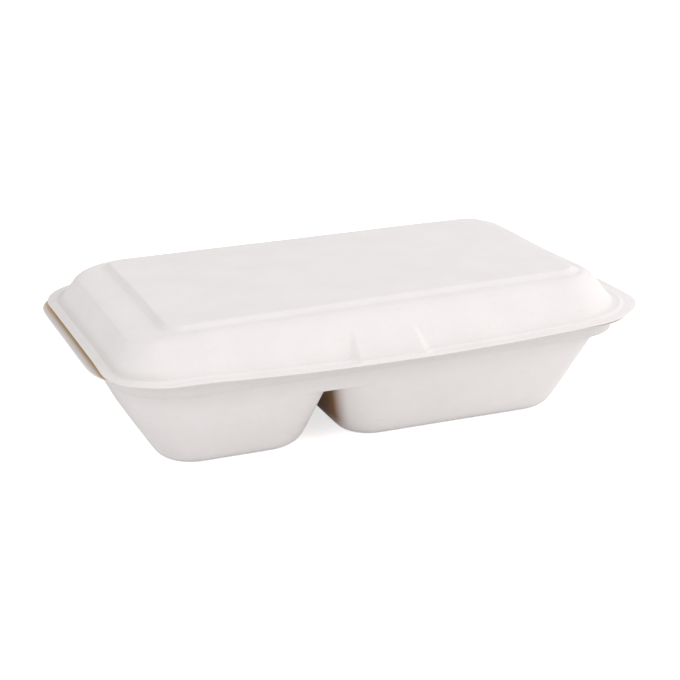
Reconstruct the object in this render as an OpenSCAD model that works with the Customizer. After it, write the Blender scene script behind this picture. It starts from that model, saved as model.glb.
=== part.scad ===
// Two-compartment clamshell food box, moulded in one sheet of plant-fibre pulp, closed.
// X runs along the hinge, Y from the lock at the front to the hinge at the back, Z up.
// The origin is under the middle of the closed box, on the surface that it stands on.

/* [Rim] */
// Length of the base over its rim
rim_l = 254; // [220:1:290]
// Width of the base over its rim, from front to back
rim_w = 161; // [145:1:190]
// Radius of the base rim's corners in plan
rim_corner = 34; // [30:0.5:40]
// Height of the rim's inner edge above the surface that the box stands on
rim_h = 49.3; // [44:0.1:60]
// Width of the base's flange
flange_w = 7.2; // [5.5:0.1:8]
// How far the base's flange falls towards its outer edge
flange_fall = 1.6; // [1.2:0.1:3]

/* [Pulp] */
// Thickness of the moulded pulp
wall = 0.7; // [0.5:0.05:0.9]

/* [Collar] */
// Height of the upright collar between the flange and the ledge
collar_h = 8.4; // [6:0.1:11]
// How far the collar leans in on its way down
collar_in = 1.5; // [0.5:0.1:3]
// Width of the ledge at the collar's foot
ledge_w = 2.7; // [1.5:0.1:4]

/* [Compartments] */
// Slope of the long walls from upright, in degrees
side_draft = 26.5; // [15:0.5:28]
// Slope of the end walls from upright, in degrees
end_draft = 26.8; // [15:0.1:30]
// Radius of the walls' corners in plan, at the ledge
mouth_corner = 26.5; // [18:0.5:30]
// Radius of the walls' corners in plan, at the floor
floor_corner = 16; // [14:0.5:24]
// Radius between the walls and the floor
floor_bend = 9; // [5:0.5:12]

/* [Divider] */
// Distance of the divider's middle from the rim's middle, to the right
divider_x = -21; // [-40:0.5:20]
// Height of the channel under the divider
divider_h = 31.5; // [22:0.5:36]
// Slope of the divider's two walls from upright, in degrees
divider_draft = 16; // [8:0.5:20]
// Width of the channel's roof
divider_top = 2; // [1:0.1:4]
// Radius of the compartments' corners at the divider, in plan
divider_corner = 15; // [11:0.5:20]

/* [Lid] */
// Gap that the sprung lid leaves over the base's rim
lid_gap = 2.95; // [2.4:0.05:5]
// How far the closed lid sits off to the right
lid_right = 3; // [0:0.1:4]
// How far the closed lid sits off to the front
lid_forward = 2; // [1.5:0.1:3]
// Radius of the lid's corners in plan, at its edge
lid_corner_r = 32; // [30:0.5:36]
// Width of the lid's flange at the front and back
lid_flange_w = 7.2; // [6:0.1:10]
// Width of the lid's flange at the two ends, on average
lid_end_flange_w = 8; // [6.5:0.1:10]
// How far the foot of the lid's walls sits off to the left of the middle of its edge
lid_walls_left = 3.2; // [0:0.1:4]
// Distance of the step in the lid's flange from its edge
step_in = 4.8; // [3:0.1:5]
// How far the lid's flange falls from its step to its edge
lid_flange_fall = 1.2; // [0.5:0.1:1.5]
// Height of the lid's sloping walls
lid_wall_h = 13; // [9:0.5:24]
// How far the lid's front and back walls lean in on their way up
lid_wall_in = 10.5; // [7:0.5:13]
// How far the lid's end walls lean in on their way up
lid_end_wall_in = 12; // [8:0.5:14]
// Radius of the lid's shoulder
shoulder_bend = 9; // [4:0.5:12]
// Radius at the foot of the lid's walls
foot_bend = 3; // [1:0.5:4]

/* [Panel] */
// Height of the raised panel on the lid
panel_h = 2; // [1:0.1:4]
// Distance of the panel's top from the lid's edge at the front and back
panel_in = 26.5; // [25:0.5:34]
// How much further in the panel starts at the two ends
panel_end_in = 3.6; // [0:0.1:8]
// Width of the slope around the panel
panel_slope = 2.2; // [1:0.1:4]
// Radius of the panel's corners in plan
panel_corner = 6; // [4:0.5:8]

/* [Lock] */
// Distance of the lock's middle from the rim's middle, to the right
lock_x = -2; // [-20:0.5:20]
// How far the lock pulls the middle of the lid's front edge down
lock_pull = 3.4; // [1:0.1:3.5]
// How far the middle of the lid's front edge bows out
lock_bow = 2.3; // [0:0.1:4]
// Width of the pocket in the lid, at its foot
pocket_w = 29.5; // [20:0.5:40]
// Height of the pocket in the lid
pocket_h = 7; // [5:0.5:9]
// How far the pocket stands out of the lid's wall, at its foot
pocket_depth = 3; // [2:0.1:4]
// How much each side of the pocket closes in, out of the wall and up it
pocket_flare = 3; // [1:0.5:4]
// Height of the base's tongue over the rim
tongue_h = 6; // [4:0.5:7]
// Lean of the tongue from upright, in degrees
tongue_lean = 30; // [20:1:38]
// Gap between the tongue and each side of the pocket
tongue_gap = 2; // [1:0.1:4]

/* [Hinge] */
// Length of the folded web that joins the lid to the base
web_l = 176; // [120:1:180]
// Gap between the two halves of the web at the fold
web_gap = 0.3; // [0.2:0.05:0.6]

/* [Hidden] */

corner_steps = 8;
front_steps = 12;
bend_steps = 5;
// How far a cutting solid reaches past what it cuts
past = 1;

pulp = [0.93, 0.92, 0.89];

// Heights of the base's ledge and of the two flanges' edges
ledge_h = rim_h - collar_h;
ledge_in = flange_w + collar_in + ledge_w;
lid_z = rim_h + lid_gap + wall;
base_edge_z = rim_h - flange_fall - wall / 2;
lid_edge_z = lid_z - lid_flange_fall - wall / 2;
// The lid's outer lip, outside the step: its width and how far it falls
lip_w = step_in - 1;
lip_fall = 0.4 * lid_flange_fall;

// The web is half a round fold between the two edges, and turns at its outermost line
web_r = (lid_edge_z - base_edge_z) / 2;
web_y = rim_w / 2 + wall / 2;
web_z = (lid_edge_z + base_edge_z) / 2;
hinge_y = web_y + web_r + wall / 2 + web_gap / 2;
// How far the web's root reaches into each flange, from the middle of the fold
web_root = 1.6;
root_depth = web_root - wall / 2;
// Rise of each flange over the web's root
base_root_rise = root_depth * flange_fall / flange_w;
lid_root_rise = root_depth * lip_fall / lip_w;

// Middle of the base's rim, so that the origin lies under the middle of the closed box
front_reach = rim_w / 2 + lid_forward + lock_bow;
back_reach = web_y + web_r + wall / 2;
middle_x = -lid_right / 2;
middle_y = (front_reach - back_reach) / 2;

// The lid's own middle, seen from the middle of the rim
pocket_x = lock_x - lid_right;
lid_wall_angle = atan(lid_wall_h / lid_wall_in);
bow_half = 0.9 * rim_l / 2;

// Quarter circle in plan that starts at the angle start
function corner(x, y, r, start) = [
    for (i = [0 : corner_steps])
        let (a = start + 90 * i / corner_steps)
        [x + r * cos(a), y + r * sin(a)]
];

// Rectangle in plan with round corners, of radius r0 on the left and r1 on the right
function outline(x0, x1, y0, y1, r0, r1) = concat(
    corner(x1 - r1, y0 + r1, r1, -90),
    corner(x1 - r1, y1 - r1, r1, 0),
    corner(x0 + r0, y1 - r0, r0, 90),
    corner(x0 + r0, y0 + r0, r0, 180)
);

function at_height(points, z) = [for (p = points) [p.x, p.y, z]];

// Distance that a wall of slope draft has leaned in at height z, from its line at height top.
// skin is how deep the face lies in the pulp: 0 outside, wall inside.
// Below the bend's tangent the face follows the bend's arc into the floor.
function face_in(z, top, draft, skin) =
    let (r = floor_bend - skin)
    let (centre = (top - floor_bend) * tan(draft) + floor_bend / cos(draft))
    z >= floor_bend - r * sin(draft)
        ? (top - z) * tan(draft) + skin / cos(draft)
        : centre - sqrt(max(0, r * r - pow(floor_bend - z, 2)));

// What is left of a plan corner of radius r where the face has leaned in past its straight line
function plan_corner(r, z, skin) =
    r - face_in(z, ledge_h, side_draft, skin) + (ledge_h - z) * tan(side_draft);

function outer_corner(z) = floor_corner + (mouth_corner - floor_corner) * z / ledge_h;

// Half the length and width that a compartment's or the body's walls leave at height z
function half_l(z, skin) = rim_l / 2 - ledge_in - face_in(z, ledge_h, end_draft, skin);
function half_w(z, skin) = rim_w / 2 - ledge_in - face_in(z, ledge_h, side_draft, skin);

// Place of the divider's wall in one compartment: side is -1 on the left and 1 on the right
function divider_face(side, z, skin) =
    divider_x + side * (divider_top / 2 + face_in(z, divider_h, divider_draft, skin));

// Ring of one compartment
function compartment_ring(side, z, skin) =
    let (y = half_w(z, skin))
    let (x_end = side * half_l(z, skin))
    let (x_div = divider_face(side, z, skin))
    let (r_end = plan_corner(outer_corner(z), z, skin))
    let (r_div = plan_corner(divider_corner, z, skin))
    at_height(
        side < 0
            ? outline(x_end, x_div, -y, y, r_end, r_div)
            : outline(x_div, x_end, -y, y, r_div, r_end),
        z);

// Heights of a compartment's rings: up the bend, then at the bridge's roof
function levels(skin) = concat(
    [for (i = [0 : bend_steps])
        floor_bend - (floor_bend - skin) * cos((90 - side_draft) * i / bend_steps)],
    [divider_h + skin]
);
function compartment(side, skin) = [for (z = levels(skin)) compartment_ring(side, z, skin)];

// Ring around both compartments, with two points on each long side where the bridge starts and ends
function whole_ring(x, y, r, z, skin) =
    let (roof = divider_h + skin)
    let (r_div = plan_corner(divider_corner, roof, skin))
    let (x_left = divider_face(-1, roof, skin) - r_div)
    let (x_right = divider_face(1, roof, skin) + r_div)
    at_height(concat(
        corner(x - r, r - y, r, -90),
        corner(x - r, y - r, r, 0),
        [[x_right, y], [x_left, y]],
        corner(r - x, y - r, r, 90),
        corner(r - x, r - y, r, 180),
        [[x_left, -y], [x_right, -y]]
    ), z);

// Ring of the rim, moved in by inset on all sides
function rim_ring(inset, z, skin) =
    whole_ring(rim_l / 2 - inset, rim_w / 2 - inset, rim_corner - inset, z, skin);

// Ring of the walls at the ledge
function ledge_ring(z, skin) =
    whole_ring(half_l(z, skin), half_w(z, skin), plan_corner(outer_corner(z), z, skin), z, skin);

// Rings of the ledge, the collar and the flange: up the outer face, then down the inner face
rim_rings = [
    ledge_ring(ledge_h, 0),
    rim_ring(flange_w + collar_in, ledge_h, 0),
    rim_ring(flange_w, rim_h - wall, 0),
    rim_ring(0, rim_h - flange_fall - wall, 0),
    rim_ring(0, rim_h - flange_fall, 0),
    rim_ring(flange_w + wall, rim_h, wall),
    rim_ring(flange_w + collar_in + wall, ledge_h + wall, wall),
    ledge_ring(ledge_h + wall, wall)
];

// Index lists and faces of a surface through rings
function run(start, count) = [for (i = [0 : count - 1]) start + i];
function quad(a, b, c, d) = [[a, b, c], [a, c, d]];
function band(lower, upper) =
    let (n = len(lower))
    [for (i = [0 : n - 1]) each quad(lower[i], upper[i], upper[(i + 1) % n], lower[(i + 1) % n])];
function bands(start, count, rings) = [
    for (k = [0 : rings - 2])
        each band(run(start + k * count, count), run(start + (k + 1) * count, count))
];
function floor_cap(ring, middle) =
    let (n = len(ring))
    [for (i = [0 : n - 1]) [ring[i], ring[(i + 1) % n], middle]];
function top_cap(ring, middle) =
    let (n = len(ring))
    [for (i = [0 : n - 1]) [ring[(i + 1) % n], ring[i], middle]];
function middle_of(values) = (min(values) + max(values)) / 2;
function centre(ring) = [for (axis = [0 : 2]) middle_of([for (p = ring) p[axis]])];

// Ring around both compartments, picked from the points of the left and right compartments' top rings
quarter = corner_steps + 1;
function around(left, right) = concat(
    run(right, 2 * quarter + 1),
    run(left + 2 * quarter - 1, 2 * quarter + 1),
    [left, right + 4 * quarter - 1]
);

// Strip between the compartments' top rings, from front to back
function bridge(left, right) = [
    for (i = [0 : 2 * quarter - 2])
        let (r = right + 4 * quarter - 1 - i)
        each quad(left + i, r, r - 1, left + i + 1)
];
function flipped(faces) = [for (f = faces) [f[2], f[1], f[0]]];

// The base's skin in one piece: the compartments' outer faces, the rim, and the inner faces
module base_skin() {
    n = 4 * quarter;
    m = len(levels(0));
    tall = n * m;
    wide = n + 4;
    outer = [for (side = [-1, 1]) compartment(side, 0)];
    inner = [for (side = [-1, 1]) compartment(side, wall)];
    rim_start = 2 * tall;
    inner_start = rim_start + wide * len(rim_rings);
    middles = inner_start + 2 * tall;
    top = tall - n;
    points = concat(
        [for (s = outer, r = s) each r],
        [for (r = rim_rings) each r],
        [for (s = inner, r = s) each r],
        [for (s = concat(outer, inner)) centre(s[0])]
    );
    polyhedron(points = points, faces = concat(
        [for (k = [0, 1]) each bands(k * tall, n, m)],
        [for (k = [0, 1]) each floor_cap(run(k * tall, n), middles + k)],
        bridge(top, tall + top),
        band(around(top, tall + top), run(rim_start, wide)),
        bands(rim_start, wide, len(rim_rings)),
        flipped(band(
            around(inner_start + top, inner_start + tall + top),
            run(inner_start - wide, wide))),
        flipped(bridge(inner_start + top, inner_start + tall + top)),
        [for (k = [0, 1]) each flipped(bands(inner_start + k * tall, n, m))],
        [for (k = [0, 1]) each top_cap(run(inner_start + k * tall, n), middles + 2 + k)]
    ));
}

// Points of an arc in section, from angle a0 to a1
function arc(x, z, r, a0, a1) = [
    for (i = [0 : bend_steps])
        let (a = a0 + (a1 - a0) * i / bend_steps)
        [x + r * cos(a), z + r * sin(a)]
];

// Section of one half of the folded web, in Y and Z from the middle of the fold.
// It starts thin inside the flange, at the distance lead and height rise, and turns up to the fold line.
function web_section(lead, rise) = concat(
    [[-lead, rise - web_r - wall / 4]],
    arc(0, 0, web_r + wall / 2, -90, -asin(web_gap / 2 / web_r)),
    arc(0, 0, web_r - wall / 2, -asin(web_gap / 2 / web_r), -90),
    [[-lead, rise - web_r + wall / 4]]
);

// Half of the web: side is -1 for the base's half and 1 for the lid's
module web_half(side, lead, rise) {
    translate([-web_l / 2, web_y, web_z])
        rotate([90, 0, 90])
            linear_extrude(web_l)
                polygon([for (p = web_section(lead, rise)) [p.x, -side * p.y]]);
}

// The tongue stands on the inner edge of the flange and leans in
module tongue() {
    tongue_w = pocket_w - 2 * (pocket_flare + wall + tongue_gap);
    slant_l = tongue_h / cos(tongue_lean);
    tip_r = tongue_h / 2;
    translate([lock_x, -rim_w / 2 + flange_w, rim_h - wall / 2])
        rotate([90 - tongue_lean, 0, 0])
            translate([-tongue_w / 2, 0, -wall])
                linear_extrude(wall)
                    polygon(concat(
                        [[0, -wall / 4]],
                        [[tongue_w, -wall / 4]],
                        arc(tongue_w - tip_r, slant_l - tip_r, tip_r, 0, 90),
                        arc(tip_r, slant_l - tip_r, tip_r, 90, 180)
                    ));
}

module base_tray() {
    color(pulp)
        translate([middle_x, middle_y, 0]) {
            base_skin();
            tongue();
            web_half(-1, web_root, base_root_rise);
        }
}

// Section of the lid's outer face, from the flange's edge to the raised panel.
// Each point is the distance from the edge and the height over the flange.
shoulder_tangent = shoulder_bend * tan(lid_wall_angle / 2);
foot_tangent = foot_bend * tan(lid_wall_angle / 2);
lid_section = concat(
    [[0, -lid_flange_fall]],
    [[lip_w, lip_fall - lid_flange_fall]],
    [[step_in, 0]],
    arc(lid_flange_w - foot_tangent, foot_bend, foot_bend, -90, -90 + lid_wall_angle),
    arc(lid_flange_w + lid_wall_in + shoulder_tangent, lid_wall_h - shoulder_bend,
        shoulder_bend, 90 + lid_wall_angle, 90),
    [[panel_in - panel_slope, lid_wall_h]],
    [[panel_in, lid_wall_h + panel_h]]
);

// A section line moved into the pulp by its thickness
function unit(v) = v / norm(v);
function inward(v) = [v.y, -v.x];
function into_pulp(line) = [
    for (i = [0 : len(line) - 1])
        let (before = unit(line[max(i, 1)] - line[max(i, 1) - 1]))
        let (after = unit(line[min(i + 1, len(line) - 1)] - line[min(i + 1, len(line) - 1) - 1]))
        let (n = inward(unit(before + after)))
        line[i] + n * wall / (n * inward(before))
];

// Radius of the lid's corners in plan at a distance from its edge
function lid_corner(inset) = max(lid_corner_r - inset, panel_corner);

// Distances from the lid's edge: the tops of the front and end walls, and the foot of the panel
wall_top = lid_flange_w + lid_wall_in;
end_wall_top = lid_end_flange_w + lid_end_wall_in;
panel_foot = panel_in - panel_slope;

// Distance from the edge at the lid's ends, for a point of the section at the front
end_spread = (panel_foot + panel_end_in - end_wall_top) / (panel_foot - wall_top);
function end_in(inset) =
    inset <= lid_flange_w ? inset * lid_end_flange_w / lid_flange_w
    : inset <= wall_top ? lid_end_flange_w + (inset - lid_flange_w) * lid_end_wall_in / lid_wall_in
    : inset <= panel_foot ? end_wall_top + (inset - wall_top) * end_spread
    : inset + panel_end_in;

// How far a ring sits off to the left: more and more over the flange, and less and less from there to the panel
function ring_left(inset) =
    lid_walls_left * max(0, min(inset / lid_flange_w, (panel_foot - inset) / (panel_foot - lid_flange_w)));

// The lock pulls the middle of the front edge down and lets it bow out, less and less up the wall
function settled(p) =
    let (along = max(0, 1 - pow(p.x / bow_half, 2)))
    let (front = max(0, min(1, -p.y / (rim_w / 8))))
    let (low = max(0, min(1, (lid_z + lid_wall_h - p.z) / lid_wall_h)))
    let (share = along * front * low)
    [p.x, p.y - lock_bow * share, p.z - lock_pull * share];

// Ring of the lid at one point s of its section, where o is the outer face's point that it belongs to.
// The front side is divided, so that it can bow.
function lid_ring(s, o) =
    let (x = rim_l / 2 - end_in(o[0]) + o[0] - s[0])
    let (y = rim_w / 2 - s[0])
    let (r = lid_corner(s[0]))
    let (left = ring_left(o[0]))
    let (front = [for (i = [1 : front_steps - 1]) [(r - x) * (1 - 2 * i / front_steps) - left, -y]])
    let (ring = concat(outline(-x - left, x - left, -y, y, r, r), front))
    [for (p = at_height(ring, lid_z + s[1])) settled(p)];

// The lid's skin: out along the inner face from the panel to the edge, then back over the outer face
module lid_skin() {
    inner = into_pulp(lid_section);
    last = len(lid_section) - 1;
    rings = concat(
        [for (i = [last : -1 : 0]) lid_ring(inner[i], lid_section[i])],
        [for (i = [0 : last]) lid_ring(lid_section[i], lid_section[i])]
    );
    n = len(rings[0]);
    m = len(rings);
    polyhedron(
        points = concat([for (r = rings) each r], [centre(rings[0]), centre(rings[m - 1])]),
        faces = concat(
            bands(0, n, m),
            floor_cap(run(0, n), m * n),
            top_cap(run((m - 1) * n, n), m * n + 1)
        )
    );
}

// Foot of the lid's wall at the lock, and the wall's lean there
foot_y = -rim_w / 2 + lid_flange_w - lock_bow;
foot_z = lid_z - lock_pull;
lock_lean = (lid_wall_in + lock_bow) / (lid_wall_h + lock_pull);
// The pulp's thickness measured level through the pocket's slanting faces
slant_wall = 1.4 * wall;
// How far the wedge's top edge stands out of the wall
merge = 0.1;

// Slab of the pocket at a height over the foot, thin, with its side walls closing in towards its face
module pocket_slab(height, face_y, half_w, room) {
    translate([pocket_x, 0, foot_z + height])
        linear_extrude(0.01)
            polygon([
                [-half_w, foot_y + height * lock_lean + room],
                [-half_w, foot_y + height * lock_lean],
                [-half_w + pocket_flare, face_y],
                [half_w - pocket_flare, face_y],
                [half_w, foot_y + height * lock_lean],
                [half_w, foot_y + height * lock_lean + room]
            ]);
}

// Wedge that stands out of the lid's wall, most at its foot
module pocket_form() {
    hull() {
        pocket_slab(0, foot_y - pocket_depth, pocket_w / 2 + pocket_flare, wall);
        pocket_slab(pocket_h, foot_y + pocket_h * lock_lean - merge, pocket_w / 2, wall);
    }
}

// Room inside the wedge, open below and towards the inside of the lid
module pocket_room() {
    top = pocket_h - 2 * wall;
    room = 5 * wall;
    foot_half = pocket_w / 2 + pocket_flare - slant_wall;
    hull() {
        for (height = [-2 * wall - past, 0]) {
            pocket_slab(height, foot_y - pocket_depth + slant_wall, foot_half, room);
        }
        pocket_slab(top, foot_y + top * lock_lean + wall, pocket_w / 2 - slant_wall, room);
    }
}

module lid() {
    color(pulp)
        translate([middle_x, middle_y, 0]) {
            translate([lid_right, -lid_forward, 0])
                difference() {
                    union() {
                        lid_skin();
                        pocket_form();
                    }
                    pocket_room();
                }
            web_half(1, lid_forward + web_root, -lid_root_rise);
        }
}

base_tray();
lid();
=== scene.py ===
import math

import bmesh
import bpy
import numpy as np
from mathutils import Matrix, Vector, noise


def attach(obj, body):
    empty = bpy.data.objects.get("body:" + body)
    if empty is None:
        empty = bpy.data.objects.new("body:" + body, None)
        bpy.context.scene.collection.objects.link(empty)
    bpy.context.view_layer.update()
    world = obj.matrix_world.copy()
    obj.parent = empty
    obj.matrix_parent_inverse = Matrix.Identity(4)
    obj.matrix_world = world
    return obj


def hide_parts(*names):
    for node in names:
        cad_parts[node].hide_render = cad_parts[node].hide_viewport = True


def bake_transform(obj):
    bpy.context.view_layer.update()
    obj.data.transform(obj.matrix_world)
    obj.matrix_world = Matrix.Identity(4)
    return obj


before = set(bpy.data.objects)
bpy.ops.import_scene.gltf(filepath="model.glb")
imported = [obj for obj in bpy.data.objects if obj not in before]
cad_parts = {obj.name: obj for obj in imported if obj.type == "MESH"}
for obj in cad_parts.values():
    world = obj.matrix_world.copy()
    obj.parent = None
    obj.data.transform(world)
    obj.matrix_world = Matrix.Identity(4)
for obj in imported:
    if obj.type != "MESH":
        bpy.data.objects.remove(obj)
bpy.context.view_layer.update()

# Sizes in millimetres, as in the part's source. Shapes are worked out round the middle of the
# base's rim and then moved, so that the origin lies under the middle of the closed box.
MM = 0.001
RIM_MIDDLE = np.array([-1.5, 0.7875, 0.0])

RIM_L, RIM_W, RIM_H = 254.0, 161.0, 49.3
WALL = 0.7
# Radii of the rim at the front right, back right, back left and front left
RIM_CORNERS = (31.0, 31.0, 35.0, 38.0)
# The flange falls least at the sides, more along the hinge, and most at the lock
FLANGE_W, FLANGE_FALL, SIDE_FALL, LOCK_FALL = 7.2, 1.6, 0.1, 2.2
# How far from the middle the lock and the hinge pull the flange down
LOCK_REACH, HINGE_REACH = 80.0, 100.0
COLLAR_H, COLLAR_IN, LEDGE_W = 8.4, 1.5, 2.7
SIDE_DRAFT, END_DRAFT = math.radians(26.5), math.radians(26.8)
MOUTH_CORNER, FLOOR_CORNER, FLOOR_BEND = 26.5, 16.0, 9.0
DIVIDER_X, DIVIDER_H, DIVIDER_TOP = -21.0, 31.5, 2.0
DIVIDER_DRAFT, DIVIDER_CORNER = math.radians(16.0), 15.0
LEDGE_H = RIM_H - COLLAR_H
LEDGE_IN = FLANGE_W + COLLAR_IN + LEDGE_W

LID_GAP, LID_RIGHT, LID_FORWARD, LID_CORNER = 2.95, 3.0, 2.0, 32.0
LID_Z = RIM_H + WALL + LID_GAP
LID_FLANGE_W, STEP_IN, LID_FLANGE_FALL = 7.2, 4.8, 1.2
LID_WALL_H, LID_WALL_IN = 13.0, 10.5
FOOT_BEND, SHOULDER_BEND, VALLEY_BEND, PANEL_BEND, STEP_BEND = 3.0, 9.0, 2.6, 2.0, 0.8
PANEL_H, PANEL_IN, PANEL_END_IN, PANEL_SLOPE, PANEL_CORNER = 2.0, 26.5, 3.6, 2.6, 6.0

LOCK_X, LOCK_PULL, LOCK_BOW = -2.0, 3.8, 2.3
POCKET_H, POCKET_DEPTH, POCKET_HALF, POCKET_TAPER = 7.0, 3.6, 14.8, 1.0
RAMP_TOP, RAMP_SPREAD, RAMP_SOFTNESS = 0.9, 3.2, 0.35
TONGUE_W, TONGUE_H, TONGUE_LEAN = 18.1, 6.0, math.radians(30.0)
TONGUE_ROOT, TONGUE_TIP, TONGUE_FLARE, TONGUE_CROWN = 0.9, 3.0, 1.6, 0.5
# The lid's front left corner sags, and its top is twisted a little
CORNER_SAG, SAG_X, SAG_Y, SAG_REACH = 1.5, -117.0, -70.0, 34.0
TWIST, TWIST_HALF = 1.1, 95.0

# The web is a half circle of pulp between the middles of the two edges at the back
BASE_EDGE_Z = RIM_H - FLANGE_FALL - WALL / 2
LID_EDGE_Z = LID_Z - LID_FLANGE_FALL - WALL / 2
WEB_L, WEB_ROOT = 176.0, 1.6
WEB_Y = RIM_W / 2 + WALL / 2
WEB_Z = (BASE_EDGE_Z + LID_EDGE_Z) / 2
WEB_R = (LID_EDGE_Z - BASE_EDGE_Z) / 2

# Unevenness of dried pulp: how often a metre it turns, and the share of the fine one
WIDE_WAVES, FINE_WAVES, FINE_SHARE = 26.0, 85.0, 0.3
FINE_OFFSET = Vector((7.3, 1.1, 4.7))
DRIFT_OFFSETS = [Vector((9.3, -1.5, -8.0)), Vector((0.0, 0.0, 0.0)), Vector((6.3, 11.1, 3.0))]
TRAY_UNEVEN, LID_UNEVEN, WEB_UNEVEN = 0.16, 0.2, 0.12
# Height in metres over which the unevenness fades towards the floor
FLAT_BELOW = 0.004

# Tones of the pulp as linear colours, and the tints of painted shade that multiply them
CLOUD_DARK, CLOUD_LIGHT, FIBRE = (0.85, 0.814, 0.806), (0.88, 0.843, 0.836), (0.74, 0.70, 0.63)
SHADE_TINTS = [
    # painted shade: a warm tone on the inner faces, where the box is shaded inside
    ("inside", (0.98, 0.92, 0.82)),
    # painted shade: tan in the shaded gap under the lid's edge
    ("gap_shade", (1.0, 0.84, 0.58)),
    # painted shade: grey under the lip, in the crease below the collar and in the lid's valley
    ("shelter_shade", (0.90, 0.905, 0.90)),
    # painted shade: dark brown far inside the shaded channel under the divider
    ("deep", (0.38, 0.21, 0.10)),
]
FIBRE_SHARE = 0.16
WEAVE_PITCH = 0.00115
BUMP_STRENGTH, BUMP_DISTANCE = 0.55, 0.00006

# Lamps: name, place and size in metres, power in watts
LAMPS = [
    ("key", (0.75, -0.7, 0.85), (0.9, 0.9), 3.3),
    ("left", (-1.0, -0.8, 0.45), (0.8, 0.8), 2.4),
    ("front", (0.3, -1.2, 0.8), (1.0, 0.5), 1.1),
    ("right", (1.3, 0.0, 0.5), (0.8, 0.8), 4.8),
]
LAMP_TARGET = (0, 0, 0.03)
WORLD_STRENGTH, FLOOR_GLOW, FLOOR_TONE = 0.7, 0.7, 0.9

# Camera that was fitted to the photo: angles in degrees, what it looks at in millimetres, distance in metres
CAMERA_AZIMUTH, CAMERA_ELEVATION, CAMERA_ROLL = -20.76, 18.59, -1.17
CAMERA_TARGET = Vector((4.4, 0.0, 30.3))
CAMERA_DISTANCE, CAMERA_LENS = 0.8235, 91.72


# Small helpers
def arc(x, y, r, start, steps):
    """Points of a quarter circle in plan, from the angle start in degrees."""
    a = np.radians(start + 90.0 * np.arange(steps + 1) / steps)
    return np.stack([x + r * np.cos(a), y + r * np.sin(a)], 1)


def between(a, b, count):
    """Points evenly spaced between a and b, without the two."""
    t = (np.arange(count) + 1.0) / (count + 1.0)
    return a + (b - a) * t[:, None]


def at(points, z):
    return np.column_stack([points, np.full(len(points), z)])


def clamp(v):
    return np.clip(v, 0.0, 1.0)


def smooth(v):
    v = clamp(v)
    return v * v * (3 - 2 * v)


def make_object(name, points, faces):
    """Mesh object from points in millimetres round the middle of the rim."""
    mesh = bpy.data.meshes.new(name)
    mesh.from_pydata((np.asarray(points) + RIM_MIDDLE) * MM, [], faces)
    mesh.update()
    obj = bpy.data.objects.new(name, mesh)
    bpy.context.scene.collection.objects.link(obj)
    return obj


def turn_outwards(obj, axis, lowest):
    """Makes all faces look the same way: the one that lies furthest along the axis looks out."""
    b = bmesh.new()
    b.from_mesh(obj.data)
    bmesh.ops.recalc_face_normals(b, faces=b.faces)
    pick = (min if lowest else max)(b.faces, key=lambda f: f.calc_center_median()[axis])
    if (pick.normal[axis] > 0) == lowest:
        bmesh.ops.reverse_faces(b, faces=b.faces)
    b.to_mesh(obj.data)
    b.free()


def apply_modifiers(obj):
    graph = bpy.context.evaluated_depsgraph_get()
    mesh = bpy.data.meshes.new_from_object(obj.evaluated_get(graph))
    obj.modifiers.clear()
    obj.data = mesh


def drift(v):
    """Three numbers from -1 to 1 that change slowly with the place, and are the same in every run."""
    return np.array([noise.noise(v + offset) for offset in DRIFT_OFFSETS])


def uneven(obj, amount):
    """Unevenness of dried pulp. Both faces of the wall move together, and the floor stays flat."""
    mesh = obj.data
    co = np.zeros(len(mesh.vertices) * 3)
    mesh.vertices.foreach_get("co", co)
    co = co.reshape(-1, 3)
    for i, p in enumerate(co):
        v = Vector(p)
        wide = drift(v * WIDE_WAVES)
        fine = drift(v * FINE_WAVES + FINE_OFFSET)
        move = (wide + FINE_SHARE * fine) * amount * MM
        move[2] *= min(1.0, max(0.0, p[2] / FLAT_BELOW))
        co[i] = p + move
    mesh.vertices.foreach_set("co", co.ravel())
    mesh.update()


def finish_mesh(obj, material, angle=40.0):
    """Smooth shading, with edges kept where the faces turn by more than the angle, and one material."""
    mesh = obj.data
    mesh.polygons.foreach_set("use_smooth", [True] * len(mesh.polygons))
    mesh.set_sharp_from_angle(angle=math.radians(angle))
    mesh.materials.clear()
    mesh.materials.append(material)
    mesh.polygons.foreach_set("material_index", [0] * len(mesh.polygons))
    mesh.update()


def store(obj, name, values):
    """Keeps one number a vertex, for the material."""
    layer = obj.data.attributes.new(name, "FLOAT", "POINT")
    layer.data.foreach_set("value", np.asarray(values, np.float32))


def vertices(obj):
    """The mesh's points in millimetres round the middle of the rim."""
    co = np.zeros(len(obj.data.vertices) * 3)
    obj.data.vertices.foreach_get("co", co)
    return co.reshape(-1, 3) / MM - RIM_MIDDLE


# Base tray: one sheet of pulp, built as a cage of its outer face

# Points of the cage's loops: steps of a corner, and points between corners along the ends, the long
# sides and the divider
CORNER, SIDE, LONG, ACROSS = 6, 6, 8, 3


def face_in(z, top, draft):
    """Distance that the outer face has leaned in at height z, from its line at height top."""
    middle = (top - FLOOR_BEND) * math.tan(draft) + FLOOR_BEND / math.cos(draft)
    if z >= FLOOR_BEND - FLOOR_BEND * math.sin(draft):
        return (top - z) * math.tan(draft)
    return middle - math.sqrt(max(0.0, FLOOR_BEND ** 2 - (FLOOR_BEND - z) ** 2))


def plan_corner(r, z):
    return r - face_in(z, LEDGE_H, SIDE_DRAFT) + (LEDGE_H - z) * math.tan(SIDE_DRAFT)


def outer_corner(z):
    return plan_corner(FLOOR_CORNER + (MOUTH_CORNER - FLOOR_CORNER) * z / LEDGE_H, z)


def half_l(z):
    return RIM_L / 2 - LEDGE_IN - face_in(z, LEDGE_H, END_DRAFT)


def half_w(z):
    return RIM_W / 2 - LEDGE_IN - face_in(z, LEDGE_H, SIDE_DRAFT)


def divider_face(side, z):
    return DIVIDER_X + side * (DIVIDER_TOP / 2 + face_in(z, DIVIDER_H, DIVIDER_DRAFT))


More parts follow.
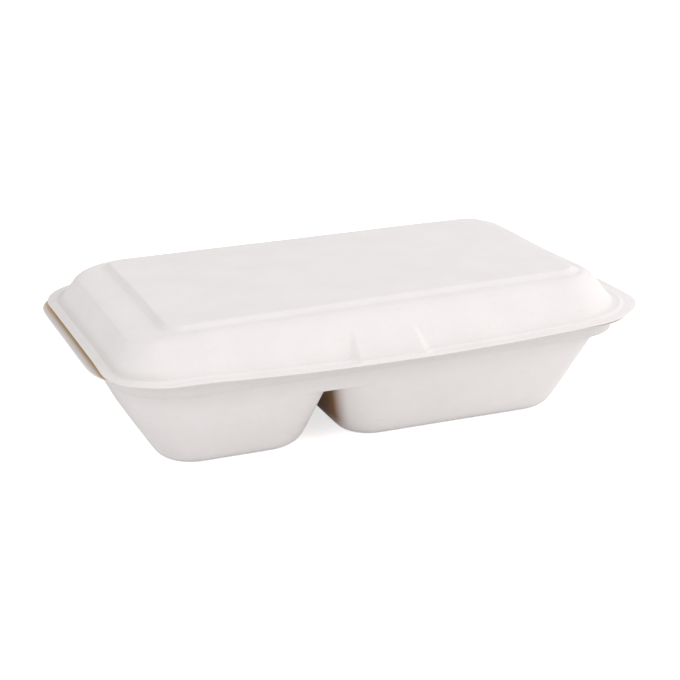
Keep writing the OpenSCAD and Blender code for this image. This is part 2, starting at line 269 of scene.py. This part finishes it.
def compartment_loop(side, z):
    """Loop round one compartment at height z. Side is -1 for the left one and 1 for the right one."""
    y = half_w(z)
    ends = [side * half_l(z), divider_face(side, z)]
    radii = [outer_corner(z), plan_corner(DIVIDER_CORNER, z)]
    (x0, r0), (x1, r1) = sorted(zip(ends, radii))
    br = arc(x1 - r1, r1 - y, r1, -90, CORNER)
    tr = arc(x1 - r1, y - r1, r1, 0, CORNER)
    tl = arc(x0 + r0, y - r0, r0, 90, CORNER)
    bl = arc(x0 + r0, r0 - y, r0, 180, CORNER)
    return at(np.concatenate([
        br, between(br[-1], tr[0], SIDE),
        tr, between(tr[-1], tl[0], LONG),
        tl, between(tl[-1], bl[0], SIDE),
        bl, between(bl[-1], br[0], LONG),
    ]), z)


def whole_loop(x, y, radii, z):
    """Loop round both compartments, with radii for the front right, back right, back left, front left."""
    r_div = plan_corner(DIVIDER_CORNER, DIVIDER_H)
    left = divider_face(-1, DIVIDER_H) - r_div
    right = divider_face(1, DIVIDER_H) + r_div
    r0, r1, r2, r3 = radii
    br = arc(x - r0, r0 - y, r0, -90, CORNER)
    tr = arc(x - r1, y - r1, r1, 0, CORNER)
    tl = arc(r2 - x, y - r2, r2, 90, CORNER)
    bl = arc(r3 - x, r3 - y, r3, 180, CORNER)
    back_r, back_l = np.array([right, y]), np.array([left, y])
    front_r, front_l = np.array([right, -y]), np.array([left, -y])
    return at(np.concatenate([
        br, between(br[-1], tr[0], SIDE),
        tr, between(tr[-1], back_r, LONG), [back_r], between(back_r, back_l, ACROSS), [back_l],
        between(back_l, tl[0], LONG),
        tl, between(tl[-1], bl[0], SIDE),
        bl, between(bl[-1], front_l, LONG), [front_l], between(front_l, front_r, ACROSS), [front_r],
        between(front_r, br[0], LONG),
    ]), z)


def wall_loop(z):
    return whole_loop(half_l(z), half_w(z), [outer_corner(z)] * 4, z)


def rim_loop(inset, z):
    return whole_loop(RIM_L / 2 - inset, RIM_W / 2 - inset, [r - inset for r in RIM_CORNERS], z)


def flange_fall(p):
    """The flange falls most where the lid pulls it down at the lock, and along the hinge."""
    at_lock = clamp(1 - (p[:, 0] / LOCK_REACH) ** 2) * smooth((-p[:, 1] - 60.0) / 12.0)
    at_hinge = smooth((p[:, 1] - 64.0) / 8.0) * smooth((HINGE_REACH - np.abs(p[:, 0])) / 12.0)
    return SIDE_FALL + (LOCK_FALL - SIDE_FALL) * at_lock + (FLANGE_FALL - SIDE_FALL) * at_hinge


def flange_loop(inset):
    loop = rim_loop(inset, RIM_H - WALL)
    loop[:, 2] -= flange_fall(loop) * (1 - inset / FLANGE_W)
    return loop


def band_faces(a, b):
    n = len(a)
    return [(a[i], b[i], b[(i + 1) % n], a[(i + 1) % n]) for i in range(n)]


def tray_cage():
    """Points and faces of the tray's outer face, from the floors up to the flange's edge."""
    points, faces = [], []

    def add(loop):
        start = len(points)
        points.extend(loop)
        return list(range(start, start + len(loop)))

    bend_steps, bend_angle = 5, math.radians(65.0)
    heights = [FLOOR_BEND - FLOOR_BEND * math.cos(bend_angle * i / bend_steps) for i in range(bend_steps + 1)]
    heights += [11.0, 17.0, 24.0, DIVIDER_H - 1.6, DIVIDER_H]
    floor_shares = (0.12, 0.35, 0.6, 0.8, 0.93)
    tops = []
    for side in (-1, 1):
        ring = compartment_loop(side, 0.0)
        middle = (ring.min(0) + ring.max(0)) / 2
        loops = [add(middle + (ring - middle) * k) for k in floor_shares]
        loops += [add(compartment_loop(side, z)) for z in heights]
        centre = len(points)
        points.append(middle)
        first = loops[0]
        faces.extend((first[i], first[(i + 1) % len(first)], centre) for i in range(len(first)))
        for a, b in zip(loops, loops[1:]):
            faces.extend(band_faces(a, b))
        tops.append(loops[-1])

    # The two loops at the divider's top are joined across it, and then run on as one ring
    left, right = tops
    c = CORNER + 1
    across = 2 * c + SIDE
    tl_start = across + LONG
    bl_end = len(right) - LONG - 1
    left_side = left[:across]
    right_side = [right[bl_end - j] for j in range(across)]
    bridge = []
    for a, b in zip(left_side, right_side):
        row = add(between(np.array(points[a]), np.array(points[b]), ACROSS))
        bridge.append([a] + row + [b])
    for lower, upper in zip(bridge, bridge[1:]):
        for k in range(len(lower) - 1):
            faces.append((lower[k], lower[k + 1], upper[k + 1], upper[k]))

    ring = right[:tl_start + 1] + bridge[-1][-2:0:-1] + left[across - 1:] + [left[0]]
    ring += bridge[0][1:-1] + right[bl_end:]
    under = RIM_H - WALL
    outer = [wall_loop(z) for z in (DIVIDER_H + 1.6, 36.5, LEDGE_H - 1.1, LEDGE_H)]
    outer += [rim_loop(FLANGE_W + COLLAR_IN + d, LEDGE_H) for d in (0.9, 0.0)]
    for share in (0.15, 0.5, 0.86, 1.0):
        z = LEDGE_H + (under - LEDGE_H) * share
        outer.append(rim_loop(FLANGE_W + COLLAR_IN * (1 - share), z))
    outer += [flange_loop(d) for d in (5.6, 3.2, 0.7, 0.0)]
    for loop in outer:
        following = add(loop)
        faces.extend(band_faces(ring, following))
        ring = following
    return np.array(points), faces


def make_tray(material):
    """The base tray, thickened and rounded from its cage, with the shares of painted shade that the
    material's tints use.
    """
    points, faces = tray_cage()
    obj = make_object("tray_shell", points, faces)
    turn_outwards(obj, 0, True)
    thick = obj.modifiers.new("thickness", "SOLIDIFY")
    thick.thickness = WALL * MM
    thick.offset = -1.0
    thick.use_even_offset = True
    round_off = obj.modifiers.new("round", "SUBSURF")
    round_off.levels = 2
    round_off.render_levels = 2
    apply_modifiers(obj)
    add_tongue(obj)
    p = vertices(obj)
    uneven(obj, TRAY_UNEVEN)
    inner = inner_share(obj)
    edge = np.maximum(np.abs(p[:, 0]) - RIM_L / 2, np.abs(p[:, 1]) - RIM_W / 2)
    # Painted shade: a warm tone on the tray's inner faces, away from the rim's outer edge
    store(obj, "inside", inner * smooth((-edge - 2.2) / 1.6))
    # Painted shade: tan on the inner flange near the rim, where the lid's edge shades it
    store(obj, "gap_shade", inner * smooth((-edge - 2.4) / 1.2) * smooth((p[:, 2] - 40.0) / 6.0) * gap_share(p))
    # Painted shade: dark brown on the outer face far inside the channel under the divider
    store(obj, "deep", (1 - inner) * channel_depth(p))
    # Painted shade: grey under the lip and in the crease below the collar, on the outer face
    store(obj, "shelter_shade", (1 - inner) * under_lip(p[:, 2]))
    finish_mesh(obj, material)
    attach(obj, "base")
    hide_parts("base_tray")
    return obj


def channel_depth(p):
    """How far into the channel under the divider a place of the outer face lies, from 0 to 1, used as the
    share of painted shade there.
    """
    behind_front = np.array([half_w(max(0.0, z)) for z in p[:, 2]]) - np.abs(p[:, 1])
    near_divider = smooth((26.0 - np.abs(p[:, 0] - DIVIDER_X)) / 7.0)
    height = (p[:, 2] < DIVIDER_H + 1.0) * smooth((p[:, 2] - 1.0) / 8.0)
    return near_divider * smooth((behind_front - 3.5) / 11.0) * height


def under_lip(z):
    """Share of painted shade where the lip shelters the outer face at height z, most of all in the crease
    below the collar.
    """
    crease = np.exp(-((z - LEDGE_H + 0.6) / 1.0) ** 2)
    return (0.8 * smooth((z - 28.0) / 17.0) + 0.55 * crease) * (z < RIM_H - 1.2)


def gap_share(p):
    """Where the painted gap shade goes: 1 all round the rim but at the front, where the lid's edge comes down
    on the base's flange.
    """
    return smooth((p[:, 1] + 72.0) / 6.0)


def inner_share(obj):
    """1 where the face looks into the box and 0 where it looks out."""
    mesh = obj.data
    normal = np.zeros(len(mesh.vertices) * 3)
    mesh.vertices.foreach_get("normal", normal)
    normal = normal.reshape(-1, 3)
    p = vertices(obj)
    left_middle, right_middle, above = -68.0, 46.0, 60.0
    middle = np.where(p[:, 0] < DIVIDER_X, left_middle, right_middle)
    to_middle = np.stack([middle - p[:, 0], -p[:, 1], above - p[:, 2]], 1)
    return (np.sum(to_middle * normal, 1) > 0).astype(float)


def add_tongue(tray):
    """The lock's tongue, a thin rounded tab that grows out of the flange's inner edge and leans in."""
    cols, rows = 17, 11
    slant = TONGUE_H / math.cos(TONGUE_LEAN)
    points = []
    for j in range(rows):
        v = j / (rows - 1)
        up = -TONGUE_ROOT + (slant + TONGUE_ROOT) * v
        tip = max(0.0, up - (slant - TONGUE_TIP)) / TONGUE_TIP
        half = TONGUE_W / 2 - TONGUE_TIP + TONGUE_TIP * math.sqrt(max(0.0, 1 - tip ** 2))
        half += TONGUE_FLARE * max(0.0, 1 - (up + TONGUE_ROOT) / 2.0) ** 2
        for i in range(cols):
            u = -1 + 2 * i / (cols - 1)
            crown = TONGUE_CROWN * (1 - u * u) * clamp(up / slant)
            x = LOCK_X + half * u
            y = -RIM_W / 2 + FLANGE_W + up * math.sin(TONGUE_LEAN) + WALL / 2 - crown
            z = RIM_H - WALL / 2 + up * math.cos(TONGUE_LEAN)
            points.append((x, y, z))
    faces = [
        (j * cols + i, j * cols + i + 1, (j + 1) * cols + i + 1, (j + 1) * cols + i)
        for j in range(rows - 1) for i in range(cols - 1)
    ]
    tongue = make_object("tongue", points, faces)
    thick = tongue.modifiers.new("thickness", "SOLIDIFY")
    thick.thickness = WALL * MM
    thick.offset = 0.0
    round_off = tongue.modifiers.new("round", "SUBSURF")
    round_off.levels = 1
    apply_modifiers(tongue)
    b = bmesh.new()
    b.from_mesh(tray.data)
    b.from_mesh(tongue.data)
    b.to_mesh(tray.data)
    b.free()
    bpy.data.objects.remove(tongue)


# Lid: dense rings of its section, with the step in the flange, the lock's pocket and the panel
def rounded(points, radii, steps=5):
    """Line whose corners are rounded, each with its own radius."""
    points = [np.array(p, float) for p in points]
    out = [points[0]]
    for before, here, after, r in zip(points, points[1:], points[2:], radii):
        d0 = (before - here) / np.linalg.norm(before - here)
        d1 = (after - here) / np.linalg.norm(after - here)
        half = math.acos(float(np.clip(d0 @ d1, -1, 1))) / 2
        bisector = (d0 + d1) / np.linalg.norm(d0 + d1)
        middle = here + bisector * r / math.sin(half)
        start = here + d0 * r / math.tan(half) - middle
        end = here + d1 * r / math.tan(half) - middle
        a0 = math.atan2(start[1], start[0])
        a1 = math.atan2(end[1], end[0])
        turn = (a1 - a0 + math.pi) % (2 * math.pi) - math.pi
        for i in range(steps + 1):
            a = a0 + turn * i / steps
            out.append(middle + r * np.array([math.cos(a), math.sin(a)]))
    out.append(points[-1])
    return out


def spaced(points, step):
    """The same line with its long stretches divided."""
    out = [points[0]]
    for a, b in zip(points, points[1:]):
        count = max(1, int(math.ceil(np.linalg.norm(b - a) / step)))
        out.extend(a + (b - a) * (i + 1) / count for i in range(count))
    return np.array(out)


def offset_line(line, distance):
    """The line moved to its right, seen along it."""
    tangent = np.gradient(line, axis=0)
    tangent /= np.linalg.norm(tangent, axis=1)[:, None]
    return line + np.stack([tangent[:, 1], -tangent[:, 0]], 1) * distance


def front_columns():
    """Places along the front that stay the same in every ring, close together at the pocket's sides."""
    wide = [0, 2.5, 5, 7.5, 9.5, 11.2, 12.4, 13.3]
    dense = [14, 14.6, 15.2, 15.8, 16.4, 17, 17.6, 18.3, 19.2, 20.5, 22.5]
    steps = np.array(wide + dense + list(np.arange(26, 63, 4.0)))
    return np.concatenate([-steps[:0:-1], steps]) + LOCK_X - LID_RIGHT


WALL_TOP = LID_FLANGE_W + LID_WALL_IN
PANEL_FOOT = PANEL_IN - PANEL_SLOPE
# Places of the section: the edge, the wall's foot, its top, the panel's foot and a place on the panel
SECTION_PLACES = [0.0, LID_FLANGE_W, WALL_TOP, PANEL_FOOT, PANEL_FOOT + 50.0]
# Distances from the lid's left and right edges for those places: the walls don't sit in the middle
# of the trimmed edge, and the left one is steeper
PANEL_END = PANEL_FOOT + PANEL_END_IN
LEFT_IN = [0.0, 4.8, 11.6, PANEL_END, PANEL_END + 50.0]
RIGHT_IN = [0.0, 11.2, 21.2, PANEL_END, PANEL_END + 50.0]
# Radii of the left and right corners in plan for those places
BACK_LEFT_CORNERS = [LID_CORNER, 31.0, 29.0, PANEL_CORNER + 2.0, PANEL_CORNER]
FRONT_LEFT_CORNERS = [26.0, 15.0, 13.0, PANEL_CORNER + 2.0, PANEL_CORNER]
RIGHT_CORNERS = [LID_CORNER, 26.0, 19.0, PANEL_CORNER + 2.0, PANEL_CORNER]


def table(values, place):
    return float(np.interp(place, SECTION_PLACES, values))


def lid_ring(inset, station):
    """Ring of the lid in plan, round its own middle, for a place of the section."""
    deeper = inset - station
    left = table(LEFT_IN, station) + deeper - RIM_L / 2
    right = RIM_L / 2 - table(RIGHT_IN, station) - deeper
    y = RIM_W / 2 - inset
    r_back = table(BACK_LEFT_CORNERS, station) - deeper
    r_front = table(FRONT_LEFT_CORNERS, station) - deeper
    r_right = table(RIGHT_CORNERS, station) - deeper
    fixed = front_columns()
    fixed = np.column_stack([fixed, np.full(len(fixed), -y)])
    steps, ends, back, beside = 12, 24, 44, 9
    br = arc(right - r_right, r_right - y, r_right, -90, steps)
    tr = arc(right - r_right, y - r_right, r_right, 0, steps)
    tl = arc(left + r_back, y - r_back, r_back, 90, steps)
    bl = arc(left + r_front, r_front - y, r_front, 180, steps)
    return np.concatenate([
        br, between(br[-1], tr[0], ends),
        tr, between(tr[-1], tl[0], back),
        tl, between(tl[-1], bl[0], ends),
        bl, between(bl[-1], fixed[0], beside), fixed, between(fixed[-1], br[0], beside),
    ])


def pocket_push(x, y, inset, height):
    """How far the lock's pocket pushes the lid's front out, at a place of its section."""
    up = clamp(height / POCKET_H)
    depth = POCKET_DEPTH * (1 - up) * clamp((inset - 0.6) / 5.0)
    face = POCKET_HALF - POCKET_TAPER * up
    foot = face + RAMP_TOP + RAMP_SPREAD * (1 - up)
    across = np.abs(x - (LOCK_X - LID_RIGHT))
    ramp = clamp((foot - across) / (foot - face))
    ramp = RAMP_SOFTNESS * smooth(ramp) + (1 - RAMP_SOFTNESS) * ramp
    at_front = y < -RIM_W / 4
    return depth * ramp * at_front


def settle(p):
    """The lock pulls the middle of the front edge down and lets it bow out, the front left corner sags,
    and the lid's top is a little twisted."""
    x, y, z = p[:, 0], p[:, 1], p[:, 2]
    along = np.maximum(0, 1 - (x / (0.9 * RIM_L / 2)) ** 2)
    front = clamp(-y / (RIM_W / 8))
    low = clamp((LID_Z + LID_WALL_H - z) / LID_WALL_H)
    share = along * front * low
    corner = CORNER_SAG * smooth(1.1 - np.hypot(x - SAG_X, y - SAG_Y) / SAG_REACH) * low
    twist = TWIST * np.clip(x / TWIST_HALF, -1.1, 1.1) * smooth(-y / 50.0) * smooth((z - LID_Z) / 12.0)
    return np.stack([x, y - LOCK_BOW * share, z - LOCK_PULL * share - corner + twist], 1)


def lid_stations():
    """The lid's section, from the panel over the outer face to the edge and back along the inner face.

    Each station has its inset in plan, its height, the inset of the outer face that it belongs to, and
    the height there, and says whether it lies on the inner face."""
    corners = [
        (0.35, -LID_FLANGE_FALL),
        (STEP_IN - 1.0, -0.6 * LID_FLANGE_FALL),
        (STEP_IN, 0.0),
        (LID_FLANGE_W, 0.0),
        (WALL_TOP, LID_WALL_H),
        (PANEL_FOOT, LID_WALL_H),
        (PANEL_IN, LID_WALL_H + PANEL_H),
        (PANEL_IN + 4.0, LID_WALL_H + PANEL_H),
    ]
    bends = (STEP_BEND, STEP_BEND, FOOT_BEND, SHOULDER_BEND, VALLEY_BEND, PANEL_BEND)
    outer = spaced(rounded(corners, bends), 1.6)
    inner = offset_line(outer, WALL)
    edge = [
        outer[0] + np.array([-WALL / 2 * math.sin(a), -WALL / 2 + WALL / 2 * math.cos(a)])
        for a in np.radians([45.0, 90.0, 135.0])
    ]
    stations = [(o[0], o[1], o[0], o[1], 0.0) for o in outer[::-1]]
    stations += [(e[0], e[1], outer[0][0], outer[0][1], float(n == 2)) for n, e in enumerate(edge)]
    stations += [(i[0], i[1], o[0], o[1], 1.0) for i, o in zip(inner, outer)]
    return stations


def station_ring(inset, height, outer_inset, outer_height):
    """Ring of the lid's points at one station of its section."""
    plan = lid_ring(inset, outer_inset)
    plan[:, 1] -= pocket_push(plan[:, 0], plan[:, 1], outer_inset, outer_height)
    return settle(at(plan, LID_Z + height))


def make_lid(material):
    points, faces, loops, inside, places = [], [], [], [], []

    def add(ring, flag, outer_inset):
        start = len(points)
        points.extend(ring)
        inside.extend([flag] * len(ring))
        places.extend([outer_inset] * len(ring))
        loops.append(list(range(start, start + len(ring))))

    stations = lid_stations()
    inwards = np.linspace(1.0, 0.0, 15)[1:-1]
    top = station_ring(*stations[0][:4])
    bottom = station_ring(*stations[-1][:4])
    for k in inwards[::-1]:
        add(shrunk(top, k), 0.0, PANEL_IN)
    for station in stations:
        add(station_ring(*station[:4]), station[4], station[2])
    for k in inwards:
        add(shrunk(bottom, k), 1.0, PANEL_IN)
    for a, b in zip(loops, loops[1:]):
        faces.extend(band_faces(a, b))
    for loop in (loops[0], loops[-1]):
        centre = len(points)
        points.append(np.mean([points[i] for i in loop], 0))
        inside.append(inside[loop[0]])
        places.append(PANEL_IN)
        faces.extend((loop[i], loop[(i + 1) % len(loop)], centre) for i in range(len(loop)))
    points = np.array(points) + np.array([LID_RIGHT, -LID_FORWARD, 0.0])
    obj = make_object("lid_shell", points, faces)
    # Painted shade: a warm tone on the lid's inner faces
    store(obj, "inside", inside)
    # Painted shade: tan on the lid's inner face near its edge, in the shaded gap
    store(obj, "gap_shade", np.array(inside) * smooth((55.0 - points[:, 2]) / 2.0) * gap_share(points))
    # Painted shade: grey in the valley at the lid wall's foot, strongest at the left end
    valley_shade = np.exp(-((np.array(places) - LID_FLANGE_W) / 1.7) ** 2) * (1 - np.array(inside))
    at_left = smooth((-points[:, 0] - 96.0) / 12.0)
    store(obj, "shelter_shade", valley_shade * (0.25 + 0.9 * at_left))
    turn_outwards(obj, 2, False)
    uneven(obj, LID_UNEVEN)
    finish_mesh(obj, material)
    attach(obj, "lid")
    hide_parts("lid")
    return obj


def shrunk(ring, k):
    """A ring of the flat panel drawn in towards the panel's middle line."""
    middle = (ring.min(0) + ring.max(0)) / 2
    out = ring.copy()
    out[:, :2] = middle[:2] + (ring[:, :2] - middle[:2]) * k
    out[:, 2] = middle[2] + (ring[:, 2] - middle[2]) * k
    return out


# Hinge: a folded web of the same pulp from the base's back edge to the lid's
def make_web(material):
    t = WALL / 2
    angles = np.radians(np.linspace(-90, 90, 17))
    ring = np.stack([np.cos(angles), np.sin(angles)], 1)
    base_root = np.array([-WEB_ROOT, (WEB_ROOT - t) * FLANGE_FALL / FLANGE_W - WEB_R])
    lid_root = np.array([-LID_FORWARD - WEB_ROOT, WEB_R + 0.12])
    lead = between(np.array([0.0, WEB_R]), lid_root, 2)
    # Half the thickness at the roots, where the web runs into the two edges, and on the way to the lid
    root, way = np.array([0, t / 2]), np.array([0, t * 0.8])
    outer = np.concatenate([[base_root - root], ring * (WEB_R + t), lead + way, [lid_root + root]])
    inner = np.concatenate([[base_root + root], ring * (WEB_R - t), lead - way, [lid_root - root]])
    section = np.concatenate([outer, inner[::-1]])
    xs = np.linspace(-WEB_L / 2, WEB_L / 2, 60)
    points, faces = [], []
    n = len(section)
    for k, x in enumerate(xs):
        points.extend((x, WEB_Y + p[0], WEB_Z + p[1]) for p in section)
        if k:
            a = list(range((k - 1) * n, k * n))
            faces.extend(band_faces(a, [i + n for i in a]))
    half = n // 2
    for start in (0, (len(xs) - 1) * n):
        for i in range(start, start + half - 1):
            across = 2 * start + n - 1 - i
            faces.append((i, i + 1, across - 1, across))
    obj = make_object("hinge_web", points, faces)
    turn_outwards(obj, 1, False)
    store(obj, "inside", np.zeros(len(obj.data.vertices)))
    uneven(obj, WEB_UNEVEN)
    finish_mesh(obj, material)
    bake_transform(obj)
    return obj


# Material: moulded plant-fibre pulp
def pulp_material():
    material = bpy.data.materials.new("moulded_pulp")
    material.use_nodes = True
    nodes, links = material.node_tree.nodes, material.node_tree.links
    nodes.clear()

    def node(kind, **settings):
        made = nodes.new(kind)
        for key, value in settings.items():
            setattr(made, key, value)
        return made

    def value(socket, number):
        socket.default_value = number

    out = node("ShaderNodeOutputMaterial")
    shader = node("ShaderNodeBsdfPrincipled")
    links.new(shader.outputs["BSDF"], out.inputs["Surface"])
    value(shader.inputs["Specular IOR Level"], 0.25)
    value(shader.inputs["Sheen Weight"], 0.08)
    value(shader.inputs["Sheen Roughness"], 0.5)

    place = node("ShaderNodeTexCoord")

    def noise_node(scale, detail, stretch=None):
        texture = node("ShaderNodeTexNoise", noise_dimensions="3D")
        value(texture.inputs["Scale"], scale)
        value(texture.inputs["Detail"], detail)
        if stretch:
            mapping = node("ShaderNodeMapping")
            value(mapping.inputs["Scale"], stretch)
            links.new(place.outputs["Object"], mapping.inputs["Vector"])
            links.new(mapping.outputs["Vector"], texture.inputs["Vector"])
        else:
            links.new(place.outputs["Object"], texture.inputs["Vector"])
        return texture

    def maths(operation, a, b=None):
        made = node("ShaderNodeMath", operation=operation)
        for socket, given in zip(made.inputs, (a, b)):
            if isinstance(given, (int, float)):
                value(socket, given)
            elif given is not None:
                links.new(given, socket)
        return made.outputs[0]

    def ramp(source, stops):
        made = node("ShaderNodeValToRGB")
        elements = made.color_ramp.elements
        while len(elements) < len(stops):
            elements.new(0.5)
        for element, (position, colour) in zip(elements, stops):
            element.position = position
            element.color = (*colour, 1.0)
        links.new(source, made.inputs["Fac"])
        return made.outputs["Color"]

    def mix(kind, factor, a, b):
        made = node("ShaderNodeMix", data_type="RGBA", blend_type=kind)
        for socket, given in ((made.inputs[0], factor), (made.inputs[6], a), (made.inputs[7], b)):
            if isinstance(given, (int, float)):
                value(socket, given)
            elif isinstance(given, tuple):
                value(socket, (*given, 1.0))
            else:
                links.new(given, socket)
        return made.outputs[2]

    # Cloudy tone of the pulp, with short fibres a little darker and warmer
    cloud = ramp(noise_node(55.0, 4.0).outputs["Fac"],
                 [(0.3, CLOUD_DARK), (0.7, CLOUD_LIGHT)])
    fibre_a = noise_node(900.0, 2.0, (1.0, 0.16, 0.5)).outputs["Fac"]
    fibre_b = noise_node(760.0, 2.0, (0.2, 1.0, 0.4)).outputs["Fac"]
    fibres = maths("MAXIMUM", fibre_a, fibre_b)
    fibre_mask = ramp(fibres, [(0.64, (0.0, 0.0, 0.0)), (0.74, (1.0, 1.0, 1.0))])
    tinted = mix("MIX", maths("MULTIPLY", fibre_mask, FIBRE_SHARE), cloud, FIBRE)
    # Painted shade: each stored share multiplies the colour by its shade tint, inside, in the gap, under the
    # lip and in the channel
    for name, colour in SHADE_TINTS:
        share = node("ShaderNodeAttribute", attribute_name=name)
        tinted = mix("MULTIPLY", share.outputs["Fac"], tinted, colour)
    links.new(tinted, shader.inputs["Base Color"])

    rough = maths("MULTIPLY_ADD", noise_node(240.0, 3.0).outputs["Fac"], 0.16)
    value(rough.node.inputs[2], 0.76)
    links.new(rough, shader.inputs["Roughness"])

    # Fine imprint of the mould's wire mesh, over a grain of fibres
    split = node("ShaderNodeSeparateXYZ")
    links.new(place.outputs["Object"], split.inputs["Vector"])
    pitch = 2 * math.pi / WEAVE_PITCH
    along = maths("SINE", maths("MULTIPLY", split.outputs["X"], pitch))
    over = maths("SINE", maths("MULTIPLY", split.outputs["Y"], pitch))
    weave = maths("MULTIPLY", along, over)
    grain = maths("ADD", maths("MULTIPLY", fibres, 1.6), noise_node(1300.0, 3.0).outputs["Fac"])
    height = maths("ADD", maths("MULTIPLY", weave, 0.5), grain)
    bump = node("ShaderNodeBump")
    value(bump.inputs["Strength"], BUMP_STRENGTH)
    value(bump.inputs["Distance"], BUMP_DISTANCE)
    links.new(height, bump.inputs["Height"])
    links.new(bump.outputs["Normal"], shader.inputs["Normal"])
    return material


pulp = pulp_material()
make_tray(pulp)
make_lid(pulp)
make_web(pulp)

# The kept frame's own nodes are hidden, but they carry the same finish
for cad_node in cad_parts.values():
    cad_node.data.materials.clear()
    cad_node.data.materials.append(pulp)


# Floor, light and camera
def seen_directly(nodes, links):
    """1 for rays from the camera, and for those that metal or glass would show."""
    path = nodes.new("ShaderNodeLightPath")
    total = path.outputs["Is Camera Ray"]
    for name in ("Is Glossy Ray", "Is Transmission Ray"):
        either = nodes.new("ShaderNodeMath")
        either.operation = "MAXIMUM"
        links.new(total, either.inputs[0])
        links.new(path.outputs[name], either.inputs[1])
        total = either.outputs[0]
    return total


def make_floor():
    size = 6.0
    mesh = bpy.data.meshes.new("floor")
    corners = [(-size, -size, 0), (size, -size, 0), (size, size, 0), (-size, size, 0)]
    mesh.from_pydata(corners, [], [(0, 1, 2, 3)])
    obj = bpy.data.objects.new("floor", mesh)
    obj.location.z = -0.00005
    bpy.context.scene.collection.objects.link(obj)
    material = bpy.data.materials.new("floor_white")
    material.use_nodes = True
    nodes, links = material.node_tree.nodes, material.node_tree.links
    nodes.clear()
    out = nodes.new("ShaderNodeOutputMaterial")
    matt = nodes.new("ShaderNodeBsdfDiffuse")
    matt.inputs["Color"].default_value = (FLOOR_TONE, FLOOR_TONE, FLOOR_TONE, 1)
    glow = nodes.new("ShaderNodeEmission")
    glow.inputs["Strength"].default_value = FLOOR_GLOW
    both = nodes.new("ShaderNodeAddShader")
    links.new(matt.outputs[0], both.inputs[0])
    links.new(glow.outputs[0], both.inputs[1])
    pick = nodes.new("ShaderNodeMixShader")
    links.new(seen_directly(nodes, links), pick.inputs[0])
    links.new(matt.outputs[0], pick.inputs[1])
    links.new(both.outputs[0], pick.inputs[2])
    links.new(pick.outputs[0], out.inputs["Surface"])
    mesh.materials.append(material)


def area_light(name, place, size, power):
    data = bpy.data.lights.new(name, "AREA")
    data.shape = "RECTANGLE"
    data.size, data.size_y = size
    data.energy = power
    obj = bpy.data.objects.new(name, data)
    obj.location = place
    obj.rotation_mode = "QUATERNION"
    obj.rotation_quaternion = (Vector(LAMP_TARGET) - Vector(place)).to_track_quat("-Z", "Y")
    bpy.context.scene.collection.objects.link(obj)


def make_world():
    world = bpy.data.worlds.new("studio")
    bpy.context.scene.world = world
    world.use_nodes = True
    nodes, links = world.node_tree.nodes, world.node_tree.links
    nodes.clear()
    out = nodes.new("ShaderNodeOutputWorld")
    light = nodes.new("ShaderNodeBackground")
    light.inputs["Color"].default_value = (1, 1, 1, 1)
    light.inputs["Strength"].default_value = WORLD_STRENGTH
    white = nodes.new("ShaderNodeBackground")
    white.inputs["Color"].default_value = (1, 1, 1, 1)
    white.inputs["Strength"].default_value = 1.0
    pick = nodes.new("ShaderNodeMixShader")
    links.new(seen_directly(nodes, links), pick.inputs[0])
    links.new(light.outputs[0], pick.inputs[1])
    links.new(white.outputs[0], pick.inputs[2])
    links.new(pick.outputs[0], out.inputs["Surface"])


def make_camera():
    azimuth, elevation = math.radians(CAMERA_AZIMUTH), math.radians(CAMERA_ELEVATION)
    roll = math.radians(CAMERA_ROLL)
    target = (CAMERA_TARGET + Vector(RIM_MIDDLE)) * MM
    back = Vector((
        math.sin(azimuth) * math.cos(elevation),
        -math.cos(azimuth) * math.cos(elevation),
        math.sin(elevation),
    ))
    right = (-back).cross(Vector((0, 0, 1))).normalized()
    up = right.cross(-back).normalized()
    turned_right = right * math.cos(roll) + up * math.sin(roll)
    turned_up = up * math.cos(roll) - right * math.sin(roll)
    data = bpy.data.cameras.new("camera")
    data.sensor_width = 36.0
    data.lens = CAMERA_LENS
    data.clip_start, data.clip_end = 0.01, 50.0
    obj = bpy.data.objects.new("camera", data)
    turn = Matrix((turned_right, turned_up, back)).transposed()
    obj.matrix_world = Matrix.Translation(target + back * CAMERA_DISTANCE) @ turn.to_4x4()
    bpy.context.scene.collection.objects.link(obj)
    bpy.context.scene.camera = obj


make_floor()
make_world()
for lamp in LAMPS:
    area_light(*lamp)
make_camera()
bpy.context.scene.view_settings.view_transform = "Standard"

bpy.context.view_layer.update()
